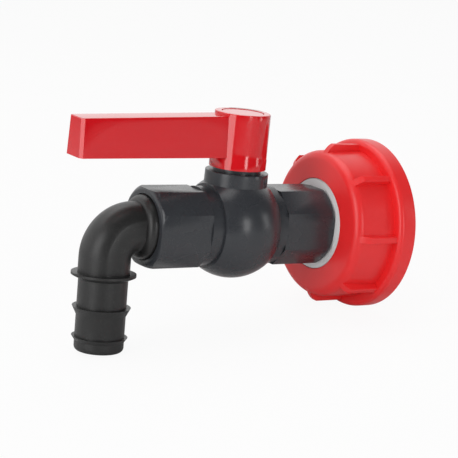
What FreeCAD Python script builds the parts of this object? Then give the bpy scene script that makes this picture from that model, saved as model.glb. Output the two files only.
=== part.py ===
"""Tank valve: an S60x6 union nut, a 3/4 inch ball valve and a 25 mm hose elbow.

The bore runs along X with the tank on the +X side, the stem stands along +Z, and the origin is
the centre of the union nut's mouth. Lengths are in millimetres and angles in degrees.
"""
import FreeCAD, Part
import math
import os
import re

import Sketcher
from FreeCAD import Placement, Rotation, Vector

# Every size that can be set by itself: (name, value). Radii are from the piece's own axis.
SIZES = [
    # union nut
    ("nut_length", 31.0),
    ("nut_body_draft", 0.5),
    ("nut_body_radius", 35.3),
    ("nut_rim_radius", 41.0),
    ("nut_rim_width", 6.7),
    ("nut_flange_width", 9.4),
    ("nut_front_round", 4.4),
    ("nut_front_rise", 0.5),
    ("nut_front_wall", 4.6),
    ("nut_hole_radius", 22.0),
    ("nut_core_radius", 28.5),
    ("nut_thread_length", 17.0),
    ("nut_relief_depth", 1.7),
    ("nut_mouth_chamfer", 0.6),
    ("nut_edge_chamfer", 0.8),
    ("nut_rib_count", 8),
    ("nut_rib_height", 3.6),
    ("nut_rib_width", 3.2),
    ("nut_rib_round", 0.5),
    ("nut_rib_sink", 3.3),
    ("nut_rib_sweep", 9.68),
    # tank adapter and gasket
    ("adapter_flange", 4.0),
    ("adapter_reach", 15.0),
    ("adapter_flare", 3.0),
    ("collar_sink", 0.2),
    ("gasket_thickness", 3.0),
    ("gasket_hole_radius", 15.0),
    # threads of the valve, at the pitch circle
    ("pipe_thread_radius", 12.65),
    ("pipe_thread_depth", 16.4),
    ("thread_chamfer", 1.0),
    ("waterway_radius", 9.5),
    ("seal_pocket_radius", 15.3),
    ("seal_pocket_depth", 2.2),
    # octagonal ends
    ("octagon_half_flats", 17.6),
    ("octagon_half_face", 8.6),
    ("octagon_end_round", 3.0),
    ("outlet_reach", 47.6),
    ("inlet_reach", 47.2),
    # round shell about the ball
    ("band_radius", 18.5),
    ("outlet_band_start", 21.0),
    ("outlet_band_end", 14.9),
    ("inlet_band_end", 20.0),
    ("bulge_radius", 24.7),
    ("shell_end", 15.1),
    ("shell_edge_round", 0.6),
    # neck
    ("neck_top_radius", 14.7),
    ("neck_base_radius", 14.9),
    ("neck_height", 25.9),
    ("neck_edge_round", 0.4),
    ("boss_radius", 11.2),
    ("boss_height", 30.6),
    ("boss_wall", 1.0),
    # ball, seats and their rings
    ("ball_radius", 16.0),
    ("ball_room", 1.3),
    ("cavity_step", 2.0),
    ("seat_inner_radius", 9.7),
    ("seat_contact_radius", 12.3),
    ("seat_outer_radius", 13.4),
    ("seat_back", 16.0),
    ("seat_ring_section", 1.7),
    ("spigot_start", 10.2),
    ("spigot_radius", 17.15),
    ("spigot_groove_width", 2.2),
    ("spigot_ring_section", 1.3),
    # stem
    ("stem_radius", 7.0),
    ("stem_drive_radius", 6.6),
    ("stem_drive_flats", 5.0),
    ("stem_flange_radius", 9.6),
    ("stem_flange_thickness", 2.2),
    ("stem_top", 46.2),
    ("stem_chamfer", 0.6),
    ("stem_ring_section", 1.6),
    ("stem_ring_width", 2.2),
    ("stem_lower_ring", 22.6),
    ("stem_upper_ring", 26.8),
    ("tang_half_width", 2.8),
    ("tang_half_length", 6.8),
    ("tang_depth", 4.1),
    ("thrust_washer", 1.4),
    # lever
    ("hub_top_radius", 13.0),
    ("hub_base_radius", 13.3),
    ("hub_bottom", 27.7),
    ("hub_top", 53.5),
    ("hub_recess_depth", 3.6),
    ("hub_web", 1.6),
    ("hub_edge_round", 0.5),
    ("hub_line_height", 32.7),
    ("hub_line_depth", 0.15),
    ("lever_reach", 86.0),
    ("lever_top_half", 6.2),
    ("lever_base_half", 7.2),
    ("lever_root_top", 52.1),
    ("lever_end_top", 50.0),
    ("lever_root_base", 33.1),
    ("lever_end_base", 32.5),
    ("lever_wall", 2.2),
    ("lever_root_gap", 0.7),
    ("lever_bay_count", 4),
    ("lever_bay_rib", 1.6),
    ("lever_draft", 2.0),
    ("lever_end_bevel", 1.3),
    ("lever_edge_round", 0.5),
    ("quarter_turn", 90.0),
    ("stop_half_angle", 12.0),
    ("stop_play", 2.0),
    ("stop_height", 2.8),
    # cap, screw and washer on the hub
    ("cap_seat_radius", 9.9),
    ("cap_disc", 1.6),
    ("cap_sink", 0.2),
    ("cap_skirt", 1.4),
    ("cap_skirt_inset", 0.6),
    ("cap_chamfer", 0.3),
    ("screw_radius", 2.4),
    ("screw_reach", 14.0),
    ("screw_head_radius", 4.2),
    ("screw_head_height", 2.4),
    ("screw_point", 1.0),
    ("screw_head_chamfer", 1.2),
    ("screw_slot", 0.9),
    ("screw_slot_half", 2.2),
    ("washer_radius", 5.2),
    ("washer_thickness", 0.8),
    # hose elbow
    ("elbow_turn", 2.4),
    ("elbow_centre", 65.8),
    ("elbow_bend", 13.5),
    ("elbow_pipe_radius", 11.8),
    ("elbow_pad_offset", 11.1),
    ("elbow_bore_radius", 8.8),
    ("elbow_thread_length", 13.5),
    ("shoulder_radius", 14.75),
    ("shoulder_width", 4.6),
    ("shoulder_sink", 0.7),
    ("shoulder_rim", 1.0),
    ("shoulder_lap", 0.5),
    ("tail_radius", 11.3),
    ("tail_collar_radius", 14.8),
    ("tail_collar_top", 20.4),
    ("tail_collar_edge", 1.1),
    ("tail_barb_taper", 4.0),
    ("tail_first_barb", 35.9),
    ("tail_first_barb_radius", 13.3),
    ("tail_second_barb", 49.6),
    ("tail_second_barb_radius", 12.75),
    ("tail_end", 56.4),
    ("tail_end_round", 2.2),
    # clearances
    ("fit", 0.05),
    ("stem_fit", 0.10),
    ("free_gap", 0.3),
    # how far a cut runs past the face that it opens, and the least step between two faces
    ("overrun", 1.0),
    ("skin", 0.01),
]
SIZE_NAMES = {name for name, _ in SIZES}

# Places and sizes that follow from the sheet.
DERIVED = {
    # along the bore, from the mouth of the nut
    "collar_face": "-nut_length + collar_sink",
    "ball_x": "collar_face - inlet_reach",
    "nut_wall_inside": "-nut_length + nut_front_wall",
    "adapter_flange_front": "nut_wall_inside + free_gap",
    "adapter_flange_back": "adapter_flange_front + adapter_flange",
    "gasket_back": "adapter_flange_back + gasket_thickness",
    "nut_thread_end": "-nut_thread_length - nut_mouth_chamfer",
    "nut_relief_radius": "nut_core_radius + nut_relief_depth",
    "nut_flange_round": "nut_flange_width - nut_rim_width",
    "rib_half_pitch": "180 / nut_rib_count",
    "flange_outer_radius": "nut_core_radius - 2 * free_gap",
    "collar_radius": "nut_hole_radius - free_gap",
    # threads
    "male_thread_radius": "pipe_thread_radius - fit",
    # about the ball
    "cavity_radius": "ball_radius + ball_room",
    "seat_pocket_radius": "seat_outer_radius + fit",
    "seat_sphere": "ball_radius + fit",
    "seat_pocket_floor": "seat_back + seat_ring_section + 2 * fit",
    "seat_ring_radius": "seat_outer_radius - seat_ring_section / 2",
    "seat_front": "sqrt(seat_sphere ^ 2 - seat_contact_radius ^ 2)",
    "seat_throat": "sqrt(seat_sphere ^ 2 - seat_inner_radius ^ 2)",
    "cavity_floor": "spigot_start + cavity_step",
    "spigot_groove_radius": "cavity_radius - spigot_ring_section - 2 * fit",
    "spigot_groove_middle": "(spigot_start + shell_end) / 2",
    "octagon_corner_radius": "sqrt(octagon_half_flats ^ 2 + octagon_half_face ^ 2)",
    # stem, up the Z axis from the ball's centre
    "flange_bottom": "ball_radius + free_gap + fit",
    "flange_top": "flange_bottom + stem_flange_thickness",
    "washer_top": "flange_top + thrust_washer",
    "chamber_top": "washer_top + free_gap",
    "chamber_radius": "stem_flange_radius + free_gap + fit",
    "neck_bore": "stem_radius + stem_fit",
    "stem_groove": "neck_bore - fit - stem_ring_section",
    "slot_floor": "flange_bottom - tang_depth - free_gap",
    "slot_half_width": "tang_half_width + free_gap",
    # hub
    "recess_top": "hub_bottom + hub_recess_depth",
    "recess_radius": "boss_radius + free_gap + 2 * fit",
    "web_bottom": "stem_top + 4 * fit",
    "web_top": "web_bottom + hub_web",
    "cap_radius": "cap_seat_radius - 4 * fit",
    "cap_top": "hub_top - cap_sink",
    "cap_under": "cap_top - cap_disc",
    "pilot_radius": "screw_radius + fit",
    "stop_inner": "neck_bore + boss_wall",
    "lug_inner": "stop_inner + free_gap",
    "lug_bottom": "recess_top - stop_height",
    "notch_floor": "lug_bottom - free_gap",
    "arm_root": "cap_seat_radius + lever_root_gap",
    "bay_room": "lever_reach - lever_wall - hub_base_radius - lever_wall",
    "bay_length": "(bay_room - (lever_bay_count - 1) * lever_bay_rib) / lever_bay_count",
    "bay_half_width": "lever_base_half - lever_wall",
    # elbow
    "outlet_seal_floor": "outlet_reach - seal_pocket_depth",
    "shoulder_front": "outlet_reach - shoulder_sink",
    "shoulder_back": "shoulder_front + shoulder_width",
    "elbow_seal_section": "(seal_pocket_depth - shoulder_sink) - 2 * fit",
    "adapter_seal_section": "seal_pocket_depth - 2 * fit",
}

WORD = re.compile(r"[a-z]+(?:_[a-z]+)*")


def bound(formula):
    """The formula with each name replaced by its cell of the sheet."""

    def cell(match):
        word = match.group(0)
        if word in DERIVED:
            return "(" + bound(DERIVED[word]) + ")"
        if word in SIZE_NAMES:
            return "Sizes." + word
        return word

    return WORD.sub(cell, str(formula))


doc = FreeCAD.newDocument("TankValve")
sheet = doc.addObject("Spreadsheet::Sheet", "Sizes")
for row, (size_name, size_value) in enumerate(SIZES, start=1):
    sheet.set(f"A{row}", size_name)
    sheet.set(f"B{row}", str(size_value))
    sheet.setAlias(f"B{row}", size_name)
doc.recompute()


def value(formula):
    """The formula's present value."""
    return float(sheet.evalExpression(bound(formula)))


# ---- helpers for bodies and sketches --------------------------------------------------------

PIECES = []


def new_body(label, x="0", turn=None):
    """A body of its own, moved along X and, if asked, its lower side turned towards -Y."""
    body = doc.addObject("PartDesign::Body", label)
    body.Label = label
    if turn is not None:
        body.Placement = Placement(Vector(0, 0, 0), Rotation(Vector(-1, 0, 0), value(turn)))
        body.setExpression("Placement.Rotation.Angle", bound(turn))
    body.setExpression("Placement.Base.x", bound(x))
    PIECES.append(body)
    return body


def new_sketch(body, plane="XZ_Plane", offset=None, tilt=None):
    """A sketch on one of the body's own origin planes, moved along that plane's normal.

    A tilt turns the sketch about its own horizontal axis.
    """
    sketch = body.newObject("Sketcher::SketchObject", body.Label + "_sketch")
    support = next(item for item in body.Origin.OriginFeatures if item.Role == plane)
    sketch.AttachmentSupport = [(support, "")]
    sketch.MapMode = "FlatFace"
    if tilt is not None:
        sketch.AttachmentOffset = Placement(Vector(0, 0, 0), Rotation(Vector(1, 0, 0), value(tilt)))
        sketch.setExpression("AttachmentOffset.Rotation.Angle", bound(tilt))
    if offset is not None:
        sketch.setExpression("AttachmentOffset.Base.z", bound(offset))
    return sketch


def arc_between(start, end, radius):
    """The short arc from start to end; a positive radius has its centre on the left."""
    chord = end - start
    middle = (start + end) * 0.5
    left = Vector(-chord.y, chord.x, 0).normalize()
    rise = math.sqrt(max(radius * radius - chord.Length ** 2 / 4, 0.0))
    centre = middle + left * math.copysign(rise, radius)
    first, last = (start, end) if radius > 0 else (end, start)
    angles = [math.atan2(point.y - centre.y, point.x - centre.x) for point in (first, last)]
    return Part.ArcOfCircle(Part.Circle(centre, Vector(0, 0, 1), abs(radius)), *angles)


def outline(sketch, corners, closed=True):
    """Draws edges through the corners and ties each corner to the sheet.

    A corner is (across, up), or (across, up, radius) where an arc leads up to it.
    """
    first_edge = sketch.GeometryCount
    points = [Vector(value(corner[0]), value(corner[1]), 0) for corner in corners]
    count = len(corners) if closed else len(corners) - 1
    starts = []
    for index in range(count):
        following = (index + 1) % len(corners)
        target = corners[following]
        if len(target) == 3:
            radius = value(target[2])
            edge = arc_between(points[index], points[following], radius)
            starts.append(1 if radius > 0 else 2)
        else:
            edge = Part.LineSegment(points[index], points[following])
            starts.append(1)
        sketch.addGeometry(edge)
    for index in range(count):
        edge = first_edge + index
        tie(sketch, edge, starts[index], corners[index])
        if index + 1 < count or closed:
            after = (index + 1) % count
            link = (edge, 3 - starts[index], first_edge + after, starts[after])
            sketch.addConstraint(Sketcher.Constraint("Coincident", *link))
        else:
            tie(sketch, edge, 3 - starts[index], corners[index + 1])
        target = corners[(index + 1) % len(corners)]
        if len(target) == 3:
            held = Sketcher.Constraint("Radius", edge, abs(value(target[2])))
            hold(sketch, held, f"abs({bound(target[2])})")


def hold(sketch, constraint, expression):
    """Adds a constraint whose size follows an expression."""
    index = sketch.addConstraint(constraint)
    sketch.setExpression(f"Constraints[{index}]", expression)


def tie(sketch, edge, end, corner):
    """Ties one end of an edge to its place in the sketch."""
    for kind, formula in (("DistanceX", corner[0]), ("DistanceY", corner[1])):
        held = Sketcher.Constraint(kind, -1, 1, edge, end, value(formula))
        hold(sketch, held, bound(formula))


def circle(sketch, radius, across="0", up="0"):
    """Draws a circle whose centre and radius follow the sheet."""
    centre = Vector(value(across), value(up), 0)
    index = sketch.addGeometry(Part.Circle(centre, Vector(0, 0, 1), value(radius)))
    tie(sketch, index, 3, (across, up))
    hold(sketch, Sketcher.Constraint("Radius", index, value(radius)), bound(radius))


def finished(body, feature, adds):
    """Recomputes, and makes sure that the feature added or cut material as it should."""
    before = body.Tip.BaseFeature.Shape.Volume if body.Tip.BaseFeature else 0.0
    doc.recompute()
    change = feature.Shape.Volume - before
    if (change > 0) != adds or abs(change) < 1e-4:
        raise RuntimeError(f"{body.Label}: {feature.Name} changed the volume by {change:.4f}")
    return feature


def turned(body, corners, axis="H_Axis", cut=False, plane="XZ_Plane"):
    """Revolves or grooves the outline all the way about an axis of its sketch."""
    sketch = new_sketch(body, plane)
    outline(sketch, corners)
    feature = body.newObject("PartDesign::Groove" if cut else "PartDesign::Revolution", "Turn")
    feature.Profile = sketch
    feature.ReferenceAxis = (sketch, [axis])
    feature.Angle = 360
    return finished(body, feature, not cut)


def extruded(body, sketch, length, cut=False, back=False, middle=False, taper=None):
    """Pads or pockets a sketch by a length of the sheet."""
    feature = body.newObject("PartDesign::Pocket" if cut else "PartDesign::Pad", "Block")
    feature.Profile = sketch
    feature.setExpression("Length", bound(length))
    feature.Reversed = back
    feature.Midplane = middle
    if taper is not None:
        feature.setExpression("TaperAngle", bound(taper))
    return finished(body, feature, not cut)


def dressed(body, kind, size, chosen):
    """A fillet or a chamfer on the edges of the tip that the test picks."""
    base = body.Tip
    names = [f"Edge{i}" for i, edge in enumerate(base.Shape.Edges, start=1) if chosen(edge)]
    if not names:
        raise RuntimeError(f"{body.Label}: no edge to dress")
    feature = body.newObject(f"PartDesign::{kind}", kind)
    feature.Base = (base, names)
    feature.setExpression("Radius" if kind == "Fillet" else "Size", bound(size))
    doc.recompute()
    return feature


def is_circle(edge, radius=None, **centre):
    """Whether the edge is a circle of this radius with its centre at x, y or z."""
    if not isinstance(edge.Curve, Part.Circle):
        return False
    if radius is not None and abs(edge.Curve.Radius - radius) > 0.01:
        return False
    return all(abs(getattr(edge.Curve.Center, axis) - at) < 0.01 for axis, at in centre.items())


def ring(label, section, radius, x, up="0", along_x=True):
    """An O-ring: a torus about X, or about Z for the stem."""
    torus = doc.addObject("Part::Torus", label)
    torus.Label = label
    torus.setExpression("Radius1", bound(radius))
    torus.setExpression("Radius2", bound(f"({section}) / 2"))
    if along_x:
        torus.Placement = Placement(Vector(0, 0, 0), Rotation(Vector(0, 1, 0), 90))
    torus.setExpression("Placement.Base.x", bound(x))
    torus.setExpression("Placement.Base.z", bound(up))
    PIECES.append(torus)
    return torus


# ---- union nut: a domed front, eight grip ribs, a flange and the thread's core bore ----------

def build_union_nut():
    body = new_body("union_nut", turn="rib_half_pitch")
    front = "-nut_length"
    shoulder = "-nut_length + nut_front_rise + nut_front_round"
    turned(body, [
        (front, "nut_hole_radius"),
        ("-nut_length + nut_front_rise", "nut_body_radius - nut_front_round"),
        (shoulder, "nut_body_radius", "-nut_front_round"),
        ("-nut_flange_width", "nut_body_radius + nut_body_draft"),
        ("-nut_flange_width", "nut_rim_radius - nut_flange_round"),
        ("-nut_rim_width", "nut_rim_radius", "-nut_flange_round"),
        ("-nut_edge_chamfer", "nut_rim_radius"),
        ("0", "nut_rim_radius - nut_edge_chamfer"),
        ("0", "nut_core_radius + nut_mouth_chamfer"),
        ("-nut_mouth_chamfer", "nut_core_radius"),
        ("nut_thread_end", "nut_core_radius"),
        ("nut_thread_end - nut_relief_depth", "nut_relief_radius"),
        ("nut_wall_inside", "nut_relief_radius"),
        ("nut_wall_inside", "nut_hole_radius"),
    ])
    rib = new_sketch(body, tilt="rib_half_pitch")
    rib_top = "nut_body_radius + nut_rib_height"
    outline(rib, [
        (f"{shoulder} - nut_rib_sink", "nut_body_radius - nut_front_round"),
        (f"{shoulder} + nut_rib_height / 2", rib_top, "-nut_rib_sweep"),
        ("-nut_rim_width - nut_rib_round", rib_top),
        ("-nut_rim_width - nut_rib_round", "nut_relief_radius + overrun"),
        (shoulder, "nut_relief_radius + overrun"),
    ])
    pad = extruded(body, rib, "nut_rib_width", middle=True)
    pattern = body.newObject("PartDesign::PolarPattern", "Ribs")
    pattern.Originals = [pad]
    pattern.Axis = (rib, ["H_Axis"])
    pattern.Angle = 360
    pattern.setExpression("Occurrences", bound("nut_rib_count"))
    body.Tip = pattern
    doc.recompute()
    top = value(rib_top)
    width = value("nut_rib_width") / 2

    def on_rib_crest(edge):
        spots = [vertex.Point for vertex in edge.Vertexes]
        radii = [math.hypot(spot.y, spot.z) for spot in spots]
        crest = math.hypot(top, width)
        straight = isinstance(edge.Curve, Part.Line) and len(spots) == 2
        return straight and all(abs(r - crest) < 0.05 for r in radii) and edge.Length > 5

    dressed(body, "Fillet", "nut_rib_round", on_rib_crest)


def build_adapter():
    body = new_body("tank_adapter")
    turned(body, [
        ("collar_face - adapter_reach", "waterway_radius"),
        ("collar_face - adapter_reach", "male_thread_radius - thread_chamfer"),
        ("collar_face - adapter_reach + thread_chamfer", "male_thread_radius"),
        ("collar_face", "male_thread_radius"),
        ("collar_face", "collar_radius"),
        ("adapter_flange_front", "collar_radius"),
        ("adapter_flange_front", "flange_outer_radius"),
        ("adapter_flange_back", "flange_outer_radius"),
        ("adapter_flange_back", "waterway_radius + adapter_flare"),
        ("adapter_flange_back - adapter_flare", "waterway_radius"),
    ])
    gasket = new_body("tank_gasket")
    turned(gasket, [
        ("adapter_flange_back", "gasket_hole_radius"),
        ("adapter_flange_back", "flange_outer_radius"),
        ("gasket_back", "flange_outer_radius"),
        ("gasket_back", "gasket_hole_radius"),
    ])
    ring("adapter_o_ring", "adapter_seal_section",
         "seal_pocket_radius - fit - adapter_seal_section / 2",
         "collar_face - seal_pocket_depth / 2")


# ---- valve body and end connector ------------------------------------------------------------

def octagon(body, offset):
    """The octagonal outline of the ends, across the bore."""
    sketch = new_sketch(body, "YZ_Plane", offset)
    flat, face = "octagon_half_flats", "octagon_half_face"
    quarter = [(flat, f"-{face}"), (flat, face), (face, flat), (f"-{face}", flat)]
    opposite = [(f"-({across})", f"-({up})") for across, up in quarter]
    outline(sketch, quarter + opposite)
    return sketch


def round_octagon_end(body, face, inward):
    """Turns the corners off an octagonal end: face is the end's X, inward points to the ball."""
    outer = "octagon_corner_radius"
    inner = f"{outer} - octagon_end_round"
    radius = f"{-inward} * octagon_end_round"
    turned(body, [
        (face, inner),
        (f"{face} + {inward} * octagon_end_round", outer, radius),
        (f"{face} + {inward} * octagon_end_round", f"{outer} + overrun"),
        (f"{face} - {inward} * overrun", f"{outer} + overrun"),
        (f"{face} - {inward} * overrun", inner),
    ], cut=True)


def build_valve_body():
    body = new_body("valve_body", x="ball_x")
    bulge_left = "sqrt(bulge_radius ^ 2 - outlet_band_end ^ 2)"
    bulge_right = "sqrt(bulge_radius ^ 2 - shell_end ^ 2)"
    extruded(body, octagon(body, "-outlet_reach"), "outlet_reach - outlet_band_start")
    turned(body, [
        ("-outlet_band_start", "0"),
        ("-outlet_band_start", "band_radius"),
        ("-outlet_band_end", "band_radius"),
        ("-outlet_band_end", bulge_left),
        ("shell_end", bulge_right, "-bulge_radius"),
        ("shell_end", "0"),
    ])
    round_octagon_end(body, "-outlet_reach", 1)
    turned(body, [
        ("0", "cavity_radius - overrun"),
        ("neck_base_radius", "cavity_radius - overrun"),
        ("neck_top_radius", "neck_height"),
        ("boss_radius", "neck_height"),
        ("boss_radius", "boss_height"),
        ("0", "boss_height"),
    ], axis="V_Axis")
    dressed(body, "Fillet", "neck_edge_round",
            lambda edge: is_circle(edge, value("neck_top_radius"), z=value("neck_height")))
    dressed(body, "Fillet", "shell_edge_round",
            lambda edge: is_circle(edge, value(bulge_right), x=value("shell_end")))
    turned(body, [
        ("-outlet_reach", "0"),
        ("-outlet_reach", "seal_pocket_radius"),
        ("-outlet_seal_floor", "seal_pocket_radius"),
        ("-outlet_seal_floor", "pipe_thread_radius"),
        ("-outlet_reach + pipe_thread_depth", "pipe_thread_radius"),
        ("-outlet_reach + pipe_thread_depth", "waterway_radius"),
        ("-seat_pocket_floor", "waterway_radius"),
        ("-seat_pocket_floor", "seat_pocket_radius"),
        ("-cavity_floor", "seat_pocket_radius"),
        ("-cavity_floor", "cavity_radius"),
        ("shell_end", "cavity_radius"),
        ("shell_end", "0"),
    ], cut=True)
    turned(body, [
        ("0", "ball_radius - overrun"),
        ("chamber_radius", "ball_radius - overrun"),
        ("chamber_radius", "chamber_top"),
        ("neck_bore", "chamber_top"),
        ("neck_bore", "boss_height"),
        ("0", "boss_height"),
    ], axis="V_Axis", cut=True)
    notch = new_sketch(body, "XY_Plane", "notch_floor")
    sector(notch, "stop_inner", "boss_radius + overrun",
           "quarter_turn - stop_half_angle - stop_play",
           "2 * quarter_turn + stop_half_angle + stop_play", wide=True)
    extruded(body, notch, "boss_height - notch_floor + overrun", cut=True, back=True)


def sector(sketch, inner, outer, start, end, wide=False):
    """A piece of a ring from one angle to another; a wide one has a corner half way round."""

    def at(radius, angle):
        return f"({radius}) * cos({angle})", f"({radius}) * sin({angle})"

    angles = [start, f"({start} + {end}) / 2", end] if wide else [start, end]
    corners = [at(inner, angles[0]), at(outer, angles[0])]
    corners += [(*at(outer, angle), outer) for angle in angles[1:]]
    corners += [at(inner, angles[-1])]
    corners += [(*at(inner, angle), f"-({inner})") for angle in angles[-2:0:-1]]
    outline(sketch, corners[1:] + [(*corners[0], f"-({inner})")])


def build_end_connector():
    body = new_body("end_connector", x="ball_x")
    extruded(body, octagon(body, "inlet_band_end"), "inlet_reach - inlet_band_end")
    round_octagon_end(body, "inlet_reach", -1)
    groove_half = "spigot_groove_width / 2"
    turned(body, [
        ("spigot_start", "0"),
        ("spigot_start", "spigot_radius"),
        (f"spigot_groove_middle - {groove_half}", "spigot_radius"),
        (f"spigot_groove_middle - {groove_half}", "spigot_groove_radius"),
        (f"spigot_groove_middle + {groove_half}", "spigot_groove_radius"),
        (f"spigot_groove_middle + {groove_half}", "spigot_radius"),
        ("shell_end", "spigot_radius"),
        ("shell_end", "band_radius"),
        ("inlet_band_end", "band_radius"),
        ("inlet_band_end", "0"),
    ])
    turned(body, [
        ("spigot_start", "0"),
        ("spigot_start", "seat_pocket_radius"),
        ("seat_pocket_floor", "seat_pocket_radius"),
        ("seat_pocket_floor", "waterway_radius"),
        ("inlet_reach - pipe_thread_depth", "waterway_radius"),
        ("inlet_reach - pipe_thread_depth", "pipe_thread_radius"),
        ("inlet_reach - seal_pocket_depth", "pipe_thread_radius"),
        ("inlet_reach - seal_pocket_depth", "seal_pocket_radius"),
        ("inlet_reach", "seal_pocket_radius"),
        ("inlet_reach", "0"),
    ], cut=True)
    ring("connector_o_ring", "spigot_ring_section",
         "spigot_groove_radius + fit + spigot_ring_section / 2",
         "ball_x + spigot_groove_middle")


def build_seats():
    """The two sealing rings, each cupped to the ball, and the rings behind them."""
    for label, side in (("outlet_seat", -1), ("inlet_seat", 1)):
        body = new_body(label, x="ball_x")
        turned(body, [
            (f"{side} * seat_back", "seat_inner_radius"),
            (f"{side} * seat_throat", "seat_inner_radius"),
            (f"{side} * seat_front", "seat_contact_radius", f"{side} * seat_sphere"),
            (f"{side} * seat_front", "seat_outer_radius"),
            (f"{side} * seat_back", "seat_outer_radius"),
        ])
        ring(label + "_o_ring", "seat_ring_section", "seat_ring_radius",
             f"ball_x + {side} * (seat_back + fit + seat_ring_section / 2)")


# ---- ball and stem ---------------------------------------------------------------------------

def build_ball():
    body = new_body("ball", x="ball_x")
    bore_end = "sqrt(ball_radius ^ 2 - waterway_radius ^ 2)"
    turned(body, [
        (f"-{bore_end}", "waterway_radius"),
        (bore_end, "waterway_radius", "-ball_radius"),
    ])
    slot = new_sketch(body, "XZ_Plane")
    outline(slot, [
        ("-slot_half_width", "slot_floor"),
        ("slot_half_width", "slot_floor"),
        ("slot_half_width", "ball_radius + overrun"),
        ("-slot_half_width", "ball_radius + overrun"),
    ])
    extruded(body, slot, "2 * (ball_radius + overrun)", cut=True, middle=True)


def build_stem():
    body = new_body("stem", x="ball_x")
    corners = [
        ("0", "flange_bottom"),
        ("stem_flange_radius", "flange_bottom"),
        ("stem_flange_radius", "flange_top"),
        ("stem_radius", "flange_top"),
    ]
    for middle in ("stem_lower_ring", "stem_upper_ring"):
        corners += [
            ("stem_radius", f"{middle} - stem_ring_width / 2"),
            ("stem_groove", f"{middle} - stem_ring_width / 2"),
            ("stem_groove", f"{middle} + stem_ring_width / 2"),
            ("stem_radius", f"{middle} + stem_ring_width / 2"),
        ]
    corners += [
        ("stem_radius", "recess_top - fit"),
        ("stem_drive_radius", "recess_top - fit"),
        ("stem_drive_radius", "stem_top - stem_chamfer"),
        ("stem_drive_radius - stem_chamfer", "stem_top"),
        ("0", "stem_top"),
    ]
    turned(body, corners, axis="V_Axis")
    flats = new_sketch(body, "XY_Plane", "recess_top - fit")
    for side in (-1, 1):
        outline(flats, [
            ("-stem_radius", f"{side} * stem_drive_flats"),
            ("stem_radius", f"{side} * stem_drive_flats"),
            ("stem_radius", f"{side} * (stem_radius + overrun)"),
            ("-stem_radius", f"{side} * (stem_radius + overrun)"),
        ])
    extruded(body, flats, "stem_top - recess_top + overrun", cut=True, back=True)
    tang = new_sketch(body, "XY_Plane", "flange_bottom")
    outline(tang, [
        ("-tang_half_width", "-tang_half_length"),
        ("tang_half_width", "-tang_half_length"),
        ("tang_half_width", "tang_half_length"),
        ("-tang_half_width", "tang_half_length"),
    ])
    extruded(body, tang, "tang_depth", back=True)
    pilot = new_sketch(body, "XY_Plane", "stem_top")
    circle(pilot, "pilot_radius")
    extruded(body, pilot, "screw_reach + overrun", cut=True)
    for label, up in (("stem_lower_o_ring", "stem_lower_ring"),
                      ("stem_upper_o_ring", "stem_upper_ring")):
        ring(label, "stem_ring_section", "neck_bore - fit - stem_ring_section / 2",
             "ball_x", up, along_x=False)
    washer = new_body("stem_thrust_washer", x="ball_x")
    turned(washer, [
        ("stem_radius + fit", "flange_top"),
        ("stem_flange_radius", "flange_top"),
        ("stem_flange_radius", "washer_top"),
        ("stem_radius + fit", "washer_top"),
    ], axis="V_Axis")


# ---- lever: a hub with a hollow, drafted arm, its cap and its screw ---------------------------

def build_lever():
    body = new_body("lever", x="ball_x")
    turned(body, [
        ("0", "hub_bottom"),
        ("hub_base_radius", "hub_bottom"),
        ("hub_base_radius", "hub_line_height - 2 * hub_line_depth"),
        ("hub_base_radius - hub_line_depth", "hub_line_height"),
        ("hub_top_radius", "hub_top"),
        ("0", "hub_top"),
    ], axis="V_Axis")
    arm = []
    for reach, base, top in (("-lever_reach", "lever_end_base", "lever_end_top"),
                             ("-arm_root", "lever_root_base", "lever_root_top")):
        section = new_sketch(body, "YZ_Plane", reach)
        outline(section, [
            ("-lever_base_half", base),
            ("lever_base_half", base),
            ("lever_top_half", top),
            ("-lever_top_half", top),
        ])
        arm.append(section)
    loft = body.newObject("PartDesign::AdditiveLoft", "Arm")
    loft.Profile = arm[0]
    loft.Sections = [arm[1]]
    loft.Ruled = True
    finished(body, loft, True)
    end_x = -value("lever_reach")
    dressed(body, "Chamfer", "lever_end_bevel", lambda edge: is_end_corner(edge, end_x))
    dressed(body, "Fillet", "lever_edge_round", lambda edge: is_arm_rim(edge, end_x))
    dressed(body, "Fillet", "hub_edge_round",
            lambda edge: is_circle(edge, value("hub_top_radius"), z=value("hub_top")))
    cut_bays(body)
    turned(body, [
        ("0", "hub_bottom"),
        ("recess_radius", "hub_bottom"),
        ("recess_radius", "recess_top"),
        ("0", "recess_top"),
    ], axis="V_Axis", cut=True)
    turned(body, [
        ("0", "recess_top"),
        ("pilot_radius + 4 * fit", "recess_top"),
        ("pilot_radius + 4 * fit", "web_top"),
        ("cap_seat_radius", "web_top"),
        ("cap_seat_radius", "hub_top"),
        ("0", "hub_top"),
    ], axis="V_Axis", cut=True)
    socket = new_sketch(body, "XY_Plane", "recess_top")
    flat = "stem_drive_flats + fit"
    round_part = "stem_drive_radius + fit"
    half = f"sqrt(({round_part}) ^ 2 - ({flat}) ^ 2)"
    outline(socket, [
        (half, f"-({flat})"),
        (half, flat, round_part),
        (f"-{half}", flat),
        (f"-{half}", f"-({flat})", round_part),
    ])
    extruded(body, socket, "web_bottom - recess_top", cut=True, back=True)
    lug = new_sketch(body, "XY_Plane", "lug_bottom")
    sector(lug, "lug_inner", "recess_radius + fit",
           "2 * quarter_turn - stop_half_angle", "2 * quarter_turn + stop_half_angle")
    extruded(body, lug, "stop_height")


def is_end_corner(edge, end_x):
    """The two upright edges of the arm's end face."""
    ends = [vertex.Point for vertex in edge.Vertexes]
    at_end = all(abs(point.x - end_x) < 0.01 for point in ends)
    return at_end and edge.BoundBox.ZLength > edge.BoundBox.YLength


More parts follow.
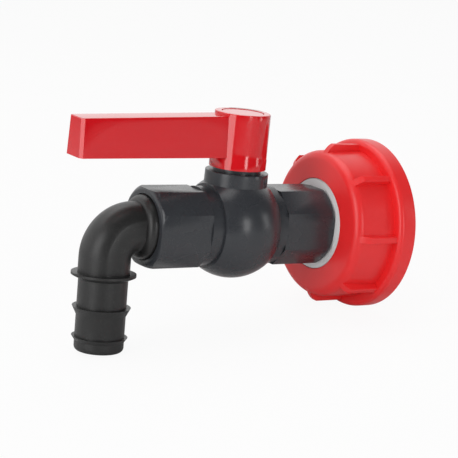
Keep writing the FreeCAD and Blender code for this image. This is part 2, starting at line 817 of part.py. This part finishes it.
def is_arm_rim(edge, end_x):
    """The long upper edges of the arm and the upper and lower edges of its end."""
    box = edge.BoundBox
    top = value("lever_end_top")
    near_end = end_x + value("lever_wall")
    long_top = box.XLength > -end_x / 2 and box.ZMin > top - value("overrun")
    end_top = box.ZLength < 0.01 and box.XMax < near_end and box.ZMin > top - 0.1
    return long_top or end_top


def cut_bays(body):
    """Hollows the arm from below, leaving its walls and the cross ribs."""
    bays = new_sketch(body, "XY_Plane", "lever_end_base - overrun / 2")
    for index in range(round(value("lever_bay_count"))):
        start = f"-lever_reach + lever_wall + {index} * (bay_length + lever_bay_rib)"
        outline(bays, [
            (start, "-bay_half_width"),
            (f"{start} + bay_length", "-bay_half_width"),
            (f"{start} + bay_length", "bay_half_width"),
            (start, "bay_half_width"),
        ])
    depth = "lever_end_top - lever_wall - (lever_end_base - overrun / 2)"
    extruded(body, bays, depth, cut=True, back=True, taper="-lever_draft")


def build_lever_fittings():
    cap = new_body("lever_cap", x="ball_x")
    turned(cap, [
        ("cap_radius - cap_skirt - cap_skirt_inset", "web_top"),
        ("cap_radius - cap_skirt_inset", "web_top"),
        ("cap_radius - cap_skirt_inset", "cap_under"),
        ("cap_radius", "cap_under"),
        ("cap_radius", "cap_top - cap_chamfer"),
        ("cap_radius - cap_chamfer", "cap_top"),
        ("0", "cap_top"),
        ("0", "cap_under"),
        ("cap_radius - cap_skirt - cap_skirt_inset", "cap_under"),
    ], axis="V_Axis")
    washer = new_body("lever_screw_washer", x="ball_x")
    turned(washer, [
        ("pilot_radius", "web_top"),
        ("washer_radius", "web_top"),
        ("washer_radius", "web_top + washer_thickness"),
        ("pilot_radius", "web_top + washer_thickness"),
    ], axis="V_Axis")
    screw = new_body("lever_screw", x="ball_x")
    head = "web_top + washer_thickness"
    turned(screw, [
        ("0", "stem_top - screw_reach"),
        ("screw_radius - screw_point", "stem_top - screw_reach"),
        ("screw_radius", "stem_top - screw_reach + screw_point"),
        ("screw_radius", head),
        ("screw_head_radius", head),
        ("screw_head_radius", f"{head} + screw_head_height / 2"),
        ("screw_head_radius - screw_head_chamfer", f"{head} + screw_head_height"),
        ("0", f"{head} + screw_head_height"),
    ], axis="V_Axis")
    for across, along in (("screw_slot / 2", "screw_slot_half"),
                          ("screw_slot_half", "screw_slot / 2")):
        slot = new_sketch(screw, "XY_Plane", f"{head} + screw_head_height")
        outline(slot, [
            (f"-({across})", f"-({along})"),
            (across, f"-({along})"),
            (across, along),
            (f"-({across})", along),
        ])
        extruded(screw, slot, "screw_head_height / 2", cut=True)


# ---- hose elbow: threaded shoulder, padded bend, collar and two barbs -------------------------

def build_elbow():
    body = new_body("elbow", x="ball_x", turn="elbow_turn")
    turned(body, [
        ("-outlet_seal_floor + elbow_thread_length", "0"),
        ("-outlet_seal_floor + elbow_thread_length",
         "male_thread_radius - thread_chamfer"),
        ("-outlet_seal_floor + elbow_thread_length - thread_chamfer", "male_thread_radius"),
        ("-shoulder_front", "male_thread_radius"),
        ("-shoulder_front", "shoulder_radius"),
        ("-shoulder_front - shoulder_rim", "shoulder_radius"),
        ("-shoulder_back", "elbow_pipe_radius", "shoulder_width - shoulder_rim"),
        ("-shoulder_back - shoulder_lap", "elbow_pipe_radius"),
        ("-shoulder_back - shoulder_lap", "0"),
    ])
    swept(body, "elbow_pipe_radius", "-shoulder_back + overrun",
          "-tail_collar_top - overrun")
    cut_pads(body)
    turned_tail(body)
    swept(body, "elbow_bore_radius", "-outlet_seal_floor + elbow_thread_length + overrun",
          "-tail_end - overrun", cut=True)
    ring("elbow_o_ring", "elbow_seal_section",
         "pipe_thread_radius + fit + elbow_seal_section / 2",
         "ball_x - outlet_seal_floor - fit - elbow_seal_section / 2")


def swept(body, radius, start, end, cut=False):
    """A round section along the bore, round the bend and down the tail."""
    bend_x = "-elbow_centre + elbow_bend"
    path = new_sketch(body, "XZ_Plane")
    outline(path, [
        (start, "0"),
        (bend_x, "0"),
        ("-elbow_centre", "-elbow_bend", "elbow_bend"),
        ("-elbow_centre", end),
    ], closed=False)
    section = new_sketch(body, "YZ_Plane", start)
    circle(section, radius)
    kind = "PartDesign::SubtractivePipe" if cut else "PartDesign::AdditivePipe"
    pipe = body.newObject(kind, "Pipe")
    pipe.Profile = section
    pipe.Spine = (path, [])
    return finished(body, pipe, not cut)


def cut_pads(body):
    """Flattens both sides of the bent pipe."""
    for side in (-1, 1):
        pad = new_sketch(body, "XZ_Plane", f"{side} * elbow_pad_offset")
        outline(pad, [
            ("-elbow_centre - elbow_pipe_radius - overrun", "-tail_collar_top + skin"),
            ("-shoulder_back", "-tail_collar_top + skin"),
            ("-shoulder_back", "elbow_pipe_radius + overrun"),
            ("-elbow_centre - elbow_pipe_radius - overrun", "elbow_pipe_radius + overrun"),
        ])
        extruded(body, pad, "elbow_pipe_radius", cut=True, back=side > 0)


def turned_tail(body):
    """The hose tail below the bend: collar, stem and barbs, turned about its own axis."""
    sketch = new_sketch(body, "XZ_Plane")

    def corner(radius, depth):
        return f"-elbow_centre + {radius}", f"-({depth})"

    barb = "tail_radius + skin"
    outline(sketch, [
        corner("0", "tail_collar_top"),
        corner("tail_collar_radius", "tail_collar_top"),
        corner("tail_collar_radius", "tail_collar_top + tail_collar_edge"),
        corner("tail_radius", "tail_collar_top + tail_collar_edge + "
               "(tail_collar_radius - tail_radius) / 2"),
        corner("tail_radius", "tail_first_barb"),
        corner("tail_first_barb_radius", "tail_first_barb"),
        corner("tail_radius", "tail_first_barb + tail_barb_taper"),
        corner("tail_radius", "tail_second_barb"),
        corner("tail_second_barb_radius", "tail_second_barb"),
        corner(barb, "tail_second_barb + tail_barb_taper / 2"),
        corner(barb, "tail_end - tail_end_round"),
        (*corner("tail_radius - tail_end_round", "tail_end"), "-tail_end_round"),
        corner("0", "tail_end"),
    ])
    turn = body.newObject("PartDesign::Revolution", "Tail")
    turn.Profile = sketch
    axis = sketch.addGeometry(Part.LineSegment(Vector(value("-elbow_centre"), 5, 0),
                                               Vector(value("-elbow_centre"), 0, 0)), True)
    tie(sketch, axis, 1, ("-elbow_centre", "5"))
    tie(sketch, axis, 2, ("-elbow_centre", "0"))
    turn.ReferenceAxis = (sketch, ["Axis0"])
    turn.Angle = 360
    return finished(body, turn, True)


def write_pieces():
    """Checks every object of the document and writes each piece to its file."""
    doc.recompute()
    for item in doc.Objects:
        if "Invalid" in item.State or "Error" in item.State:
            raise RuntimeError(f"{item.Label} did not compute: {item.State}")
    os.makedirs("parts", exist_ok=True)
    for piece in PIECES:
        shape = piece.Shape
        if shape.isNull() or not shape.isValid():
            raise RuntimeError(f"{piece.Label} has no valid shape")
        shape.exportStep(f"parts/{piece.Label}.step")
        box = shape.BoundBox
        print(f"{piece.Label:22s} solids {len(shape.Solids)} volume {shape.Volume:10.1f} "
              f"x {box.XMin:8.2f} {box.XMax:8.2f} z {box.ZMin:7.2f} {box.ZMax:7.2f}")


build_union_nut()
build_adapter()
build_valve_body()
build_end_connector()
build_seats()
build_ball()
build_stem()
build_lever()
build_lever_fittings()
build_elbow()
write_pieces()
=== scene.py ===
"""Looks of the tank valve: finishes, fine moulded detail, studio and camera.

Lengths are in metres in the same frame as the solid parts: the bore along X with the tank on the
+X side, the lever's stem along +Z, and the origin at the union nut's open mouth.
"""

import logging
import math
from dataclasses import dataclass, field
from enum import Enum
from typing import Callable, Optional, Sequence, Union

import bmesh
import bpy
from mathutils import Matrix, Vector


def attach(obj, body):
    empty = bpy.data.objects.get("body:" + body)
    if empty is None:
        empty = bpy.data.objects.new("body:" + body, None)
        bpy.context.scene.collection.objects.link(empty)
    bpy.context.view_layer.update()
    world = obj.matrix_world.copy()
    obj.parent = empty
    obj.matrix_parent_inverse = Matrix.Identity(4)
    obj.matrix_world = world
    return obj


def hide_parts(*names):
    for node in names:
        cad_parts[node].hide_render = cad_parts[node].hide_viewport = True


log = logging.getLogger("tank_valve")
MM = 0.001
BALL = Vector((-0.078, 0.0, 0.0))

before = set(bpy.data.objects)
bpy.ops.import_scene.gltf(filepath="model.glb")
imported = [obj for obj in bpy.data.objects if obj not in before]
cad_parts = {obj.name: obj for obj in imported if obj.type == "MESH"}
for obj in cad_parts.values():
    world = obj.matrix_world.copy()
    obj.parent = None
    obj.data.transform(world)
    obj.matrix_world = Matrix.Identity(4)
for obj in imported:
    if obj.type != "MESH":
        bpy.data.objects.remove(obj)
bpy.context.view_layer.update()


# ---- shader maths ---------------------------------------------------------------------------

Number = Union[float, "Signal"]


class Signal:
    """One output socket of a node graph, with arithmetic that adds Math nodes."""

    def __init__(self, graph: "Graph", socket: bpy.types.NodeSocket) -> None:
        """Wraps a socket.

        Args:
            graph: The graph that the socket belongs to.
            socket: The output socket.
        """
        self.graph = graph
        self.socket = socket

    def _math(self, operation: str, *others: Number, swapped: bool = False) -> "Signal":
        """Adds one Math node that takes this signal and the others.

        Args:
            operation: The Math node's operation.
            others: The other operands.
            swapped: Whether this signal is the second operand.

        Returns:
            The node's result.
        """
        operands = [self, *others]
        if swapped:
            operands.reverse()
        return self.graph.node("ShaderNodeMath", {"operation": operation},
                               dict(enumerate(operands)))

    def __add__(self, other: Number) -> "Signal":
        """Sum."""
        return self._math("ADD", other)

    __radd__ = __add__

    def __sub__(self, other: Number) -> "Signal":
        """Difference."""
        return self._math("SUBTRACT", other)

    def __rsub__(self, other: Number) -> "Signal":
        """Difference, with this signal taken away."""
        return self._math("SUBTRACT", other, swapped=True)

    def __mul__(self, other: Number) -> "Signal":
        """Product."""
        return self._math("MULTIPLY", other)

    __rmul__ = __mul__

    def __pow__(self, other: Number) -> "Signal":
        """Power."""
        return self._math("POWER", other)

    def between(self, low: float, high: float) -> "Signal":
        """Smooth step from 0 at low to 1 at high.

        Args:
            low: The input at which the step starts.
            high: The input at which the step is complete.

        Returns:
            The stepped signal.
        """
        return self.graph.node(
            "ShaderNodeMapRange",
            {"interpolation_type": "SMOOTHSTEP"},
            {"Value": self, "From Min": low, "From Max": high},
        )


class Graph:
    """A node tree that is filled by one node-making method."""

    def __init__(self, tree: bpy.types.NodeTree) -> None:
        """Empties the tree.

        Args:
            tree: The material's or the world's node tree.
        """
        self.tree = tree
        tree.nodes.clear()

    def node(
        self,
        kind: str,
        settings: Optional[dict] = None,
        inputs: Optional[dict] = None,
        output: Union[int, str] = 0,
    ) -> Signal:
        """Adds a node.

        Args:
            kind: The node's type.
            settings: Its settings, with a ramp's stops under "stops".
            inputs: Values or signals for its sockets, by name or number.
            output: The output socket that is returned.

        Returns:
            The chosen output.
        """
        made = self.tree.nodes.new(kind)
        for name, setting in (settings or {}).items():
            if name == "stops":
                ramp = made.color_ramp
                for index, (place, colour) in enumerate(setting):
                    stop = ramp.elements[index] if index < 2 else ramp.elements.new(place)
                    stop.position = place
                    stop.color = colour
            else:
                setattr(made, name, setting)
        for name, given in (inputs or {}).items():
            socket = made.inputs[name]
            if isinstance(given, Signal):
                self.tree.links.new(given.socket, socket)
            else:
                socket.default_value = given
        return Signal(self, made.outputs[output] if made.outputs else made.inputs[0])

    def blend(self, share: Number, first: object, second: object) -> Signal:
        """Mixes two colours.

        Args:
            share: How much of the second colour shows.
            first: The first colour or signal.
            second: The second colour or signal.

        Returns:
            The mixed colour.
        """
        return self.node("ShaderNodeMix", {"data_type": "RGBA"},
                         {0: share, 6: first, 7: second}, 2)


def rgba(colour: Sequence[float], shade: float = 1.0) -> tuple[float, float, float, float]:
    """A colour with alpha, made lighter or darker.

    Args:
        colour: Red, green and blue.
        shade: The factor on all three.

    Returns:
        Red, green, blue and alpha.
    """
    red, green, blue = (min(1.0, part * shade) for part in colour)
    return red, green, blue, 1.0


# ---- finishes -------------------------------------------------------------------------------


@dataclass(frozen=True)
class Finish:
    """A moulded, turned or pressed surface: colour, gloss, grain, flow lines and wear."""

    name: str
    colour: tuple[float, float, float]
    roughness: float
    uneven: float = 0.05
    grain: float = 3000.0
    grain_depth: float = 0.03
    flow: float = 0.06
    flow_stretch: tuple[float, float, float] = (20.0, 90.0, 90.0)
    scuffs: float = 0.15
    dust: float = 0.05
    coat: float = 0.0
    metallic: float = 0.0
    specular: float = 0.5
    scatter: float = 0.0

    def material(self) -> bpy.types.Material:
        """Makes the finish's material.

        Returns:
            The material, with all of its nodes.
        """
        made = bpy.data.materials.new(self.name)
        made.use_nodes = True
        graph = Graph(made.node_tree)
        place = graph.node("ShaderNodeTexCoord", output="Object")
        clouds = self._noise(graph, place, 60.0, 3.0)
        flow = self._noise(graph, self._stretched(graph, place, self.flow_stretch), 1.0, 4.0)
        grain = self._noise(graph, place, self.grain, 2.0)
        scratches = self._noise(
            graph, self._stretched(graph, place, (900.0, 260.0, 5200.0)), 1.0, 1.0)
        scuffed = scratches.between(0.62, 0.72) * clouds.between(0.5, 0.62) * self.scuffs
        motes = self._noise(graph, place, 5200.0, 0.0).between(0.72, 0.8) * self.dust

        base = graph.blend(flow.between(0.3, 0.7) * self.flow * 4.0,
                           rgba(self.colour), rgba(self.colour, 1.0 - 3.0 * self.flow))
        base = graph.blend(scuffed * 0.35, base, rgba(self.colour, 1.35))
        base = graph.blend(motes, base, (0.75, 0.74, 0.72, 1.0))
        rough = clouds * (2.0 * self.uneven) + (self.roughness - self.uneven)
        rough = rough + scuffed * 0.5 + motes * 0.4
        height = grain * self.grain_depth + clouds * 0.25 - scuffed * 0.1
        bump = graph.node("ShaderNodeBump", None,
                          {"Strength": 0.35, "Distance": 0.0002, "Height": height})
        shader = graph.node("ShaderNodeBsdfPrincipled", None, {
            "Base Color": base,
            "Roughness": rough,
            "Metallic": self.metallic,
            "Specular IOR Level": self.specular,
            "Coat Weight": self.coat,
            "Coat Roughness": 0.06,
            "Normal": bump,
        })
        if self.scatter:
            principled = shader.socket.node
            principled.inputs["Subsurface Weight"].default_value = self.scatter
            principled.inputs["Subsurface Radius"].default_value = (1.0, 0.25, 0.15)
            principled.inputs["Subsurface Scale"].default_value = 0.002
        graph.node("ShaderNodeOutputMaterial", None, {"Surface": shader})
        return made

    @staticmethod
    def _noise(graph: Graph, place: Signal, scale: float, detail: float) -> Signal:
        """Noise over the surface.

        Args:
            graph: The material's graph.
            place: The coordinates.
            scale: The noise's scale.
            detail: The noise's detail.

        Returns:
            The noise, about 0.5 on average.
        """
        return graph.node("ShaderNodeTexNoise", None,
                          {"Vector": place, "Scale": scale, "Detail": detail})

    @staticmethod
    def _stretched(graph: Graph, place: Signal, scale: Sequence[float]) -> Signal:
        """Coordinates scaled by a different factor on each axis.

        Args:
            graph: The material's graph.
            place: The coordinates.
            scale: The three factors.

        Returns:
            The scaled coordinates.
        """
        return graph.node("ShaderNodeMapping", None, {"Vector": place, "Scale": tuple(scale)})


class Slot(Enum):
    """The record's material slots, each with its finish."""

    NUT = Finish("nut_red", (0.86, 0.022, 0.024), 0.33, grain_depth=0.05, flow=0.04,
                 flow_stretch=(30.0, 60.0, 60.0), scuffs=0.12, scatter=0.12)
    LEVER = Finish("lever_red", (0.72, 0.006, 0.012), 0.10, uneven=0.03, grain_depth=0.0,
                   flow=0.05, flow_stretch=(14.0, 120.0, 45.0), scuffs=0.35, coat=0.25)
    BODY = Finish("body_grey", (0.036, 0.039, 0.045), 0.27, uneven=0.05, grain_depth=0.05,
                  flow=0.05, scuffs=0.25)
    ADAPTER = Finish("adapter_white", (0.80, 0.80, 0.80), 0.35, flow=0.01, scuffs=0.05)
    ELBOW = Finish("elbow_black", (0.016, 0.016, 0.016), 0.40, uneven=0.06, grain=2200.0,
                   grain_depth=0.16, flow=0.05, scuffs=0.3, dust=0.10)
    GASKET = Finish("gasket_rubber", (0.022, 0.022, 0.024), 0.62, grain_depth=0.2, dust=0.15)
    SEAL = Finish("seal_rubber", (0.018, 0.018, 0.02), 0.55, grain_depth=0.1)
    SEAT = Finish("seat_waxy", (0.86, 0.85, 0.82), 0.42, flow=0.01, scuffs=0.05, scatter=0.1)
    BALL = Finish("ball_polished", (0.05, 0.053, 0.058), 0.12, uneven=0.03, coat=0.3)
    STEM = Finish("stem_grey", (0.045, 0.048, 0.054), 0.3)
    STEEL = Finish("screw_steel", (0.62, 0.62, 0.60), 0.28, metallic=1.0, grain_depth=0.1,
                   flow_stretch=(1200.0, 1200.0, 40.0), flow=0.05)


class Paint:
    """Makes each slot's material once and hands it to the pieces."""

    def __init__(self) -> None:
        """Starts with no material made."""
        self._made: dict[Slot, bpy.types.Material] = {}

    def on(self, piece: bpy.types.Object, slot: Slot) -> None:
        """Gives a piece the slot's material.

        Args:
            piece: The mesh object.
            slot: The material slot.
        """
        if slot not in self._made:
            self._made[slot] = slot.value.material()
        piece.data.materials.clear()
        piece.data.materials.append(self._made[slot])


PAINT = Paint()


# ---- modelling helpers ----------------------------------------------------------------------


def deselect() -> None:
    """Deselects every object, leaving object mode first."""
    if bpy.context.mode != "OBJECT":
        bpy.ops.object.mode_set(mode="OBJECT")
    bpy.ops.object.select_all(action="DESELECT")


def active(piece: bpy.types.Object) -> bpy.types.Object:
    """Makes a piece the only selected and the active object.

    Args:
        piece: The object.

    Returns:
        The same object.
    """
    deselect()
    piece.select_set(True)
    bpy.context.view_layer.objects.active = piece
    return piece


def settle(piece: bpy.types.Object, body: str, slot: Slot, smooth: float = 30.0) -> None:
    """Finishes a new piece: its place goes into its mesh, it is shaded, painted and rides a body.

    Args:
        piece: The mesh object.
        body: The body that it moves with.
        slot: Its material slot.
        smooth: The largest angle, in degrees, that is shaded smooth.
    """
    active(piece)
    bpy.ops.object.transform_apply(location=True, rotation=True, scale=True)
    bpy.ops.object.shade_smooth_by_angle(angle=math.radians(smooth))
    PAINT.on(piece, slot)
    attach(piece, body)
    log.info("piece %s on %s: %d faces", piece.name, body, len(piece.data.polygons))


def dressed_copy(node: str, body: str, slot: Slot, name: str, smooth: float = 32.0,
                 change: Optional[Callable[[bpy.types.Object], None]] = None) -> bpy.types.Object:
    """A merged, smoothly shaded copy of a solid part, which it stands for.

    Args:
        node: The solid part's name.
        body: The body that it moves with.
        slot: Its material slot.
        name: The copy's name.
        smooth: The largest angle, in degrees, that is shaded smooth.
        change: What is done to the merged copy before it is shaded.

    Returns:
        The copy.
    """
    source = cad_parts[node]
    piece = bpy.data.objects.new(name, source.data.copy())
    piece.data.name = name
    bpy.context.scene.collection.objects.link(piece)
    active(piece)
    bpy.ops.object.mode_set(mode="EDIT")
    bpy.ops.mesh.select_all(action="SELECT")
    bpy.ops.mesh.remove_doubles(threshold=0.000002)
    bpy.ops.mesh.customdata_custom_splitnormals_clear()
    bpy.ops.object.mode_set(mode="OBJECT")
    if change is not None:
        change(piece)
    settle(piece, body, slot, smooth)
    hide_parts(node)
    return piece


# ---- studio ---------------------------------------------------------------------------------


@dataclass
class SoftBox:
    """A rectangular studio light that faces the ball's centre."""

    name: str
    azimuth: float
    elevation: float
    distance: float
    width: float
    height: float
    power: float
    colour: tuple[float, float, float] = (1.0, 1.0, 1.0)

    def build(self) -> None:
        """Adds the light."""
        turn, rise = math.radians(self.azimuth), math.radians(self.elevation)
        away = Vector((math.sin(turn) * math.cos(rise), -math.cos(turn) * math.cos(rise),
                       math.sin(rise)))
        light = bpy.data.lights.new(self.name, "AREA")
        light.shape = "RECTANGLE"
        light.size = self.width
        light.size_y = self.height
        light.energy = self.power
        light.color = self.colour
        made = bpy.data.objects.new(self.name, light)
        made.location = BALL + away * self.distance
        made.rotation_euler = away.to_track_quat("Z", "Y").to_euler()
        bpy.context.scene.collection.objects.link(made)


@dataclass
class Studio:
    """Pale floor, white surroundings, soft lights and the camera."""

    azimuth: float = -33.4
    elevation: float = 11.44
    roll: float = 6.1
    distance: float = 0.773
    focal_px: float = 1653.0
    aim_px: tuple[float, float] = (1.94, -4.15)
    frame_px: float = 458.0
    sensor: float = 36.0
    floor_point: Vector = field(default_factory=lambda: Vector((-0.0035, 0.0, -0.0414)))
    floor_slope: float = 6.3
    floor_size: float = 9.0
    lights: tuple[SoftBox, ...] = (
        SoftBox("left_box", -72.0, 14.0, 1.3, 0.62, 1.1, 7.0),
        SoftBox("front_strip", 2.0, 12.0, 1.2, 0.20, 0.55, 2.2),
        SoftBox("right_box", 52.0, 4.0, 1.3, 0.26, 1.0, 2.4),
        SoftBox("top_box", -150.0, 72.0, 1.2, 1.2, 1.0, 7.0),
    )

    def build(self) -> None:
        """Adds the floor, the surroundings, the lights and the camera."""
        scene = bpy.context.scene
        scene.view_settings.view_transform = "Standard"
        self._camera()
        self._world()
        self._floor()
        for light in self.lights:
            light.build()

    def _camera(self) -> None:
        """Places the camera by its angles about the ball's centre."""
        turn, rise, roll = (math.radians(angle)
                            for angle in (self.azimuth, self.elevation, self.roll))
        back = Vector((math.sin(turn) * math.cos(rise), -math.cos(turn) * math.cos(rise),
                       math.sin(rise)))
        level = Vector((math.cos(turn), math.sin(turn), 0.0))
        upright = back.cross(level)
        right = level * math.cos(roll) + upright * math.sin(roll)
        above = upright * math.cos(roll) - level * math.sin(roll)
        scale = self.distance / self.focal_px
        place = (BALL + back * self.distance - right * (self.aim_px[0] * scale)
                 + above * (self.aim_px[1] * scale))
        lens = bpy.data.cameras.new("camera")
        lens.sensor_width = self.sensor
        lens.lens = self.focal_px / self.frame_px * self.sensor
        lens.clip_start = 0.01
        camera = bpy.data.objects.new("camera", lens)
        turned = Matrix((right, above, back)).transposed().to_4x4()
        camera.matrix_world = Matrix.Translation(place) @ turned
        bpy.context.scene.collection.objects.link(camera)
        bpy.context.scene.camera = camera

    @staticmethod
    def _world() -> None:
        """Surroundings: white where seen directly, bright behind and dimmer in front."""
        world = bpy.data.worlds.new("surroundings")
        world.use_nodes = True
        bpy.context.scene.world = world
        graph = Graph(world.node_tree)
        path = graph.node("ShaderNodeLightPath", output="Is Camera Ray")
        glossy = Signal(graph, path.socket.node.outputs["Is Glossy Ray"])
        across = graph.node("ShaderNodeTexCoord", output="Generated")
        parts = graph.node("ShaderNodeSeparateXYZ", None, {0: across})
        behind = Signal(graph, parts.socket.node.outputs["Y"]).between(-0.2, 0.45)
        seen = behind * 1.35 + 0.06
        strength = path + (1.0 - path) * (glossy * seen + (1.0 - glossy) * 0.42)
        shader = graph.node("ShaderNodeBackground", None, {"Strength": strength})
        graph.node("ShaderNodeOutputWorld", None, {"Surface": shader})

    def _floor(self) -> None:
        """A pale floor under the hose tail's tip and the nut's rim."""
        deselect()
        bpy.ops.mesh.primitive_plane_add(
            size=self.floor_size, location=self.floor_point,
            rotation=(0.0, -math.radians(self.floor_slope), 0.0))
        floor = bpy.context.object
        floor.name = "floor"
        material = bpy.data.materials.new("floor_pale")
        material.use_nodes = True
        graph = Graph(material.node_tree)
        path = graph.node("ShaderNodeLightPath", output="Is Camera Ray")
        place = graph.node("ShaderNodeTexCoord", output="Object")
        paper = graph.node("ShaderNodeTexNoise", None, {"Vector": place, "Scale": 40.0})
        matt = graph.node("ShaderNodeBsdfDiffuse", None,
                          {"Color": graph.blend(paper, rgba((0.80,) * 3), rgba((0.84,) * 3))})
        lit = graph.node("ShaderNodeEmission", None, {"Strength": 1.0})
        shader = graph.node("ShaderNodeMixShader", None, {0: path * 0.93, 1: matt, 2: lit})
        graph.node("ShaderNodeOutputMaterial", None, {"Surface": shader})
        floor.data.materials.append(material)


# ---- the object -----------------------------------------------------------------------------


@dataclass
class UnionNut:
    """The ribbed union nut with its thread."""

    body: str = "nut"

    def build(self) -> None:
        """Dresses the nut."""
        dressed_copy("union_nut", self.body, Slot.NUT, "nut_moulding")


@dataclass
class Valve:
    """Valve body, end connector, adapter and seals."""

    body: str = "valve"

    def build(self) -> None:
        """Dresses the fixed pieces."""
        for node in ("valve_body", "end_connector"):
            dressed_copy(node, self.body, Slot.BODY, node + "_moulding")
        dressed_copy("tank_adapter", self.body, Slot.ADAPTER, "adapter_moulding")
        PAINT.on(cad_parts["tank_gasket"], Slot.GASKET)
        for node in ("adapter_o_ring", "connector_o_ring", "outlet_seat_o_ring",
                     "inlet_seat_o_ring", "elbow_o_ring"):
            PAINT.on(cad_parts[node], Slot.SEAL)
        for node in ("outlet_seat", "inlet_seat"):
            PAINT.on(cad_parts[node], Slot.SEAT)


@dataclass
class Lever:
    """Lever, cap, screw and stem."""

    body: str = "lever"

    def build(self) -> None:
        """Dresses the lever's pieces."""
        dressed_copy("lever", self.body, Slot.LEVER, "lever_moulding")
        dressed_copy("lever_cap", self.body, Slot.LEVER, "cap_moulding")
        dressed_copy("stem", self.body, Slot.STEM, "stem_turning")
        for node in ("lever_screw", "lever_screw_washer"):
            PAINT.on(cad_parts[node], Slot.STEEL)
        for node in ("stem_lower_o_ring", "stem_upper_o_ring"):
            PAINT.on(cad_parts[node], Slot.SEAL)
        PAINT.on(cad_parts["stem_thrust_washer"], Slot.SEAT)


@dataclass
class Ball:
    """The ball."""

    body: str = "ball"

    def build(self) -> None:
        """Dresses the ball."""
        dressed_copy("ball", self.body, Slot.BALL, "ball_turning")


@dataclass
class Elbow:
    """The hose elbow."""

    body: str = "valve"

    def build(self) -> None:
        """Dresses the elbow."""
        dressed_copy("elbow", self.body, Slot.ELBOW, "elbow_moulding")


def main() -> None:
    """Builds the studio and every sub-assembly."""
    logging.basicConfig(level=logging.INFO, format="%(name)s: %(message)s")
    Studio().build()
    for part in (UnionNut(), Valve(), Lever(), Ball(), Elbow()):
        part.build()


if __name__ == "__main__":
    main()
